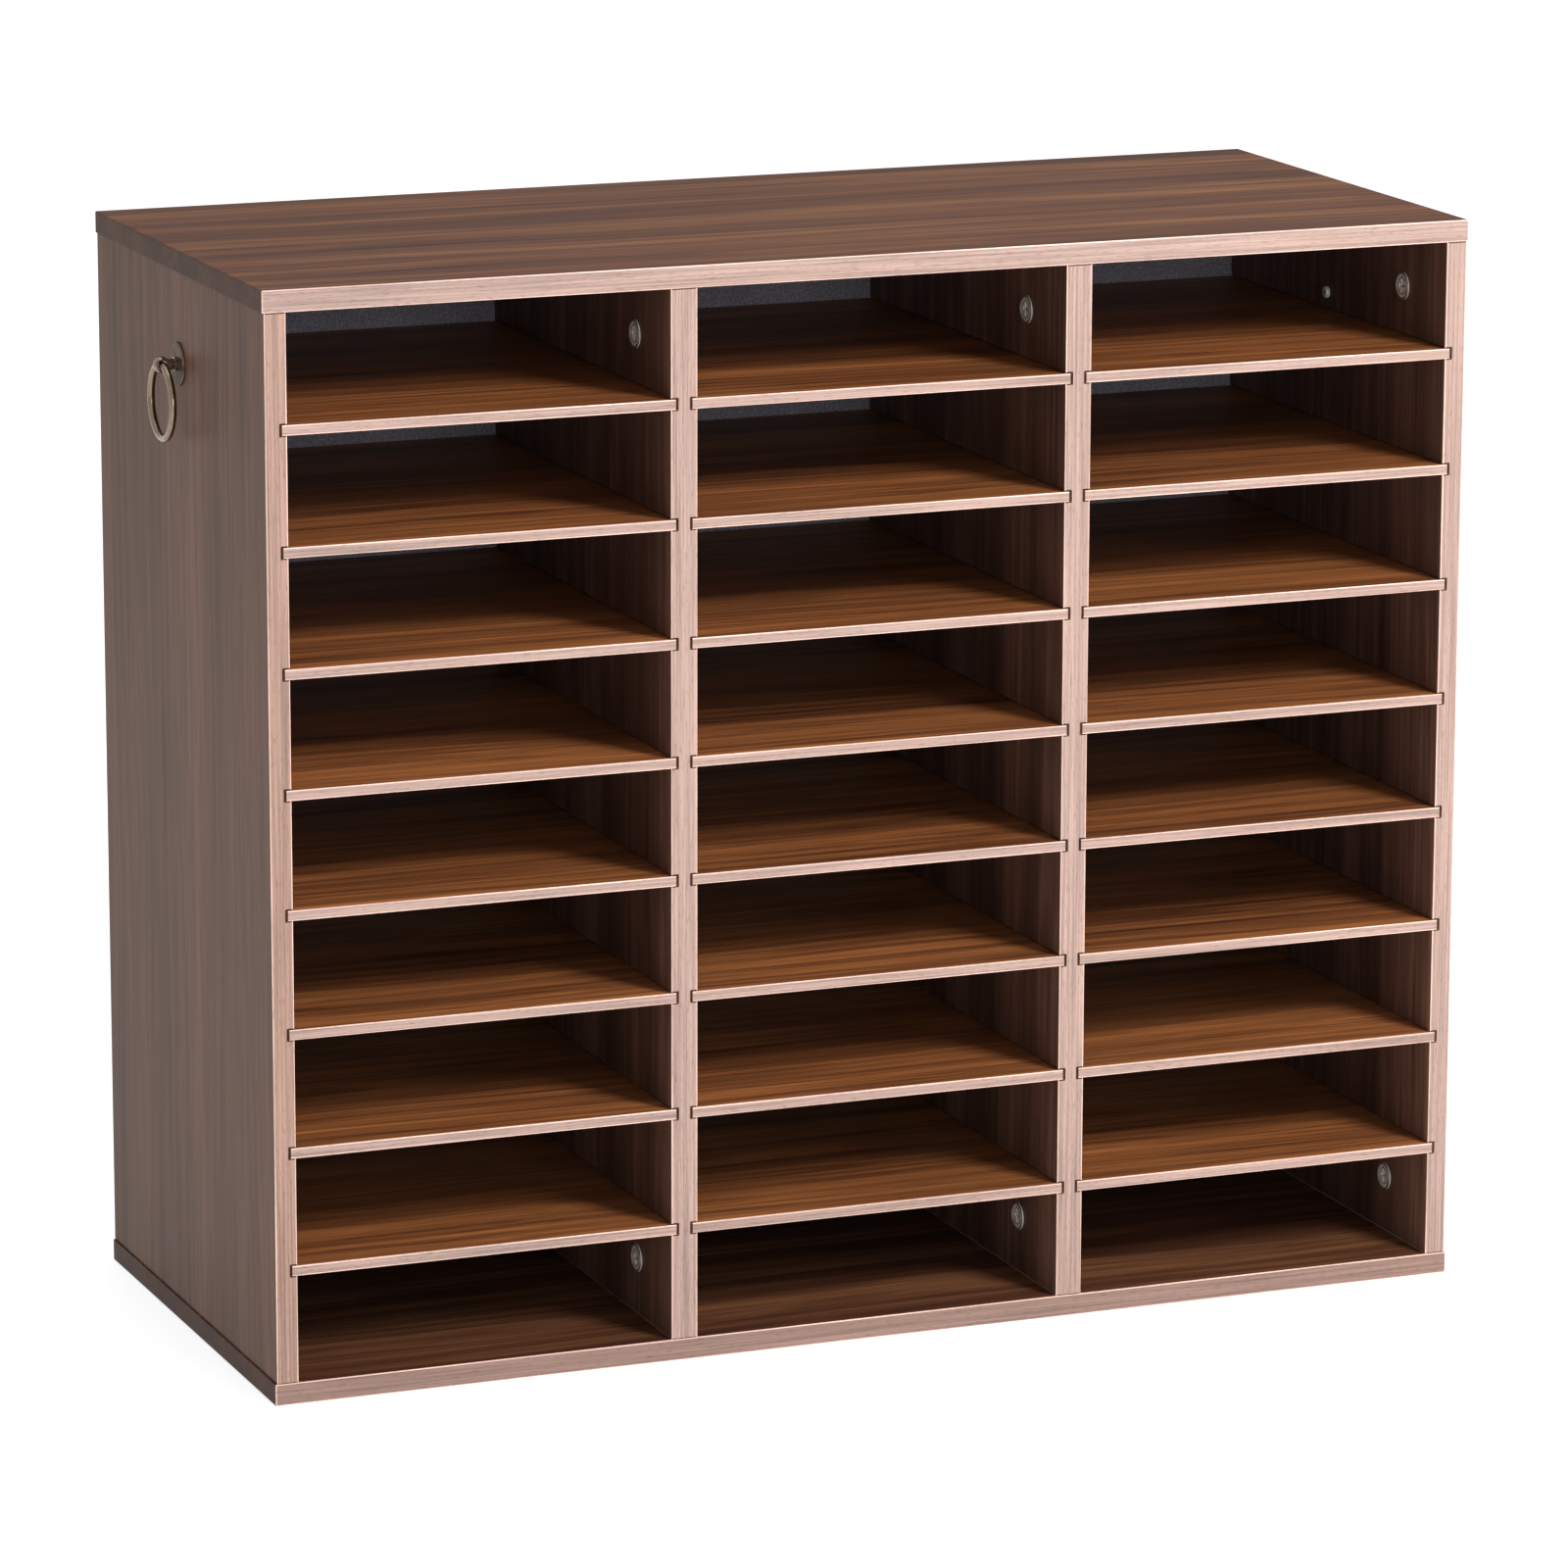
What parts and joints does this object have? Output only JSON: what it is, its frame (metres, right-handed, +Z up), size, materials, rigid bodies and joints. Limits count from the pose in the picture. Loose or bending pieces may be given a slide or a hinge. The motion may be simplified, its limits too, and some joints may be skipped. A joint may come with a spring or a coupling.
{
  "type": "document organizer",
  "caption": "Wide wooden document organizer with columns of flat open compartments, thin sliding shelves and a bronze ring handle on each side.",
  "frame": {"origin": "centre of the underside of the bottom panel", "axes": "+X to the right along the width as seen from the open front, +Y from the open front to the back, +Z up"},
  "size_m": [0.7684, 0.318, 0.6404],
  "materials": {
    "walnut_laminate": "satin walnut laminate with light edge banding",
    "upright_laminate": "satin grey-brown walnut laminate with light edge banding",
    "shelf_board": "satin thin shelf board with light edge banding",
    "back_board": "matte dark speckled hardboard",
    "zinc_fittings": "satin zinc plate",
    "antique_bronze": "worn antique bronze",
    "beech": "plain unfinished beech"
  },
  "bodies": {
    "cabinet": {"bottom_panel": "walnut_laminate", "top_panel": "walnut_laminate", "left_side_panel": "upright_laminate", "left_side_cam_locks": "zinc_fittings", "left_divider_panel": "upright_laminate", "left_divider_cam_locks": "zinc_fittings", "right_divider_panel": "upright_laminate", "right_divider_cam_locks": "zinc_fittings", "right_side_panel": "upright_laminate", "right_side_cam_locks": "zinc_fittings", "left_back_panel": "back_board", "centre_back_panel": "back_board", "right_back_panel": "back_board", "bottom_cam_bolts": "zinc_fittings", "top_cam_bolts": "zinc_fittings", "bottom_wood_dowels": "beech", "top_wood_dowels": "beech", "left_handle_rosette": "antique_bronze", "left_handle_post": "antique_bronze", "left_handle_screw": "zinc_fittings", "right_handle_rosette": "antique_bronze", "right_handle_post": "antique_bronze", "right_handle_screw": "zinc_fittings"},
    "left_shelf_1": {"left_shelf_1": "shelf_board"},
    "left_shelf_2": {"left_shelf_2": "shelf_board"},
    "left_shelf_3": {"left_shelf_3": "shelf_board"},
    "left_shelf_4": {"left_shelf_4": "shelf_board"},
    "left_shelf_5": {"left_shelf_5": "shelf_board"},
    "left_shelf_6": {"left_shelf_6": "shelf_board"},
    "left_shelf_7": {"left_shelf_7": "shelf_board"},
    "left_shelf_8": {"left_shelf_8": "shelf_board"},
    "centre_shelf_1": {"centre_shelf_1": "shelf_board"},
    "centre_shelf_2": {"centre_shelf_2": "shelf_board"},
    "centre_shelf_3": {"centre_shelf_3": "shelf_board"},
    "centre_shelf_4": {"centre_shelf_4": "shelf_board"},
    "centre_shelf_5": {"centre_shelf_5": "shelf_board"},
    "centre_shelf_6": {"centre_shelf_6": "shelf_board"},
    "centre_shelf_7": {"centre_shelf_7": "shelf_board"},
    "centre_shelf_8": {"centre_shelf_8": "shelf_board"},
    "right_shelf_1": {"right_shelf_1": "shelf_board"},
    "right_shelf_2": {"right_shelf_2": "shelf_board"},
    "right_shelf_3": {"right_shelf_3": "shelf_board"},
    "right_shelf_4": {"right_shelf_4": "shelf_board"},
    "right_shelf_5": {"right_shelf_5": "shelf_board"},
    "right_shelf_6": {"right_shelf_6": "shelf_board"},
    "right_shelf_7": {"right_shelf_7": "shelf_board"},
    "right_shelf_8": {"right_shelf_8": "shelf_board"},
    "left_ring": {"left_handle_ring": "antique_bronze"},
    "right_ring": {"right_handle_ring": "antique_bronze"}
  },
  "joints": [
    {"name": "left_shelf_1_slide", "type": "slide", "parent": "cabinet", "child": "left_shelf_1", "axis": [0, -1, 0], "range_m": [0, 0.285]},
    {"name": "left_shelf_2_slide", "type": "slide", "parent": "cabinet", "child": "left_shelf_2", "axis": [0, -1, 0], "range_m": [0, 0.285]},
    {"name": "left_shelf_3_slide", "type": "slide", "parent": "cabinet", "child": "left_shelf_3", "axis": [0, -1, 0], "range_m": [0, 0.285]},
    {"name": "left_shelf_4_slide", "type": "slide", "parent": "cabinet", "child": "left_shelf_4", "axis": [0, -1, 0], "range_m": [0, 0.285]},
    {"name": "left_shelf_5_slide", "type": "slide", "parent": "cabinet", "child": "left_shelf_5", "axis": [0, -1, 0], "range_m": [0, 0.285]},
    {"name": "left_shelf_6_slide", "type": "slide", "parent": "cabinet", "child": "left_shelf_6", "axis": [0, -1, 0], "range_m": [0, 0.285]},
    {"name": "left_shelf_7_slide", "type": "slide", "parent": "cabinet", "child": "left_shelf_7", "axis": [0, -1, 0], "range_m": [0, 0.285]},
    {"name": "left_shelf_8_slide", "type": "slide", "parent": "cabinet", "child": "left_shelf_8", "axis": [0, -1, 0], "range_m": [0, 0.285]},
    {"name": "centre_shelf_1_slide", "type": "slide", "parent": "cabinet", "child": "centre_shelf_1", "axis": [0, -1, 0], "range_m": [0, 0.285]},
    {"name": "centre_shelf_2_slide", "type": "slide", "parent": "cabinet", "child": "centre_shelf_2", "axis": [0, -1, 0], "range_m": [0, 0.285]},
    {"name": "centre_shelf_3_slide", "type": "slide", "parent": "cabinet", "child": "centre_shelf_3", "axis": [0, -1, 0], "range_m": [0, 0.285]},
    {"name": "centre_shelf_4_slide", "type": "slide", "parent": "cabinet", "child": "centre_shelf_4", "axis": [0, -1, 0], "range_m": [0, 0.285]},
    {"name": "centre_shelf_5_slide", "type": "slide", "parent": "cabinet", "child": "centre_shelf_5", "axis": [0, -1, 0], "range_m": [0, 0.285]},
    {"name": "centre_shelf_6_slide", "type": "slide", "parent": "cabinet", "child": "centre_shelf_6", "axis": [0, -1, 0], "range_m": [0, 0.285]},
    {"name": "centre_shelf_7_slide", "type": "slide", "parent": "cabinet", "child": "centre_shelf_7", "axis": [0, -1, 0], "range_m": [0, 0.285]},
    {"name": "centre_shelf_8_slide", "type": "slide", "parent": "cabinet", "child": "centre_shelf_8", "axis": [0, -1, 0], "range_m": [0, 0.285]},
    {"name": "right_shelf_1_slide", "type": "slide", "parent": "cabinet", "child": "right_shelf_1", "axis": [0, -1, 0], "range_m": [0, 0.285]},
    {"name": "right_shelf_2_slide", "type": "slide", "parent": "cabinet", "child": "right_shelf_2", "axis": [0, -1, 0], "range_m": [0, 0.285]},
    {"name": "right_shelf_3_slide", "type": "slide", "parent": "cabinet", "child": "right_shelf_3", "axis": [0, -1, 0], "range_m": [0, 0.285]},
    {"name": "right_shelf_4_slide", "type": "slide", "parent": "cabinet", "child": "right_shelf_4", "axis": [0, -1, 0], "range_m": [0, 0.285]},
    {"name": "right_shelf_5_slide", "type": "slide", "parent": "cabinet", "child": "right_shelf_5", "axis": [0, -1, 0], "range_m": [0, 0.285]},
    {"name": "right_shelf_6_slide", "type": "slide", "parent": "cabinet", "child": "right_shelf_6", "axis": [0, -1, 0], "range_m": [0, 0.285]},
    {"name": "right_shelf_7_slide", "type": "slide", "parent": "cabinet", "child": "right_shelf_7", "axis": [0, -1, 0], "range_m": [0, 0.285]},
    {"name": "right_shelf_8_slide", "type": "slide", "parent": "cabinet", "child": "right_shelf_8", "axis": [0, -1, 0], "range_m": [0, 0.285]},
    {"name": "left_ring_swing", "type": "hinge", "parent": "cabinet", "child": "left_ring", "pos_m": [-0.3795, 0, 0.5747], "axis": [0, 1, 0], "range_deg": [-8, 170]},
    {"name": "right_ring_swing", "type": "hinge", "parent": "cabinet", "child": "right_ring", "pos_m": [0.3795, 0, 0.5747], "axis": [0, -1, 0], "range_deg": [-8, 170]}
  ]
}
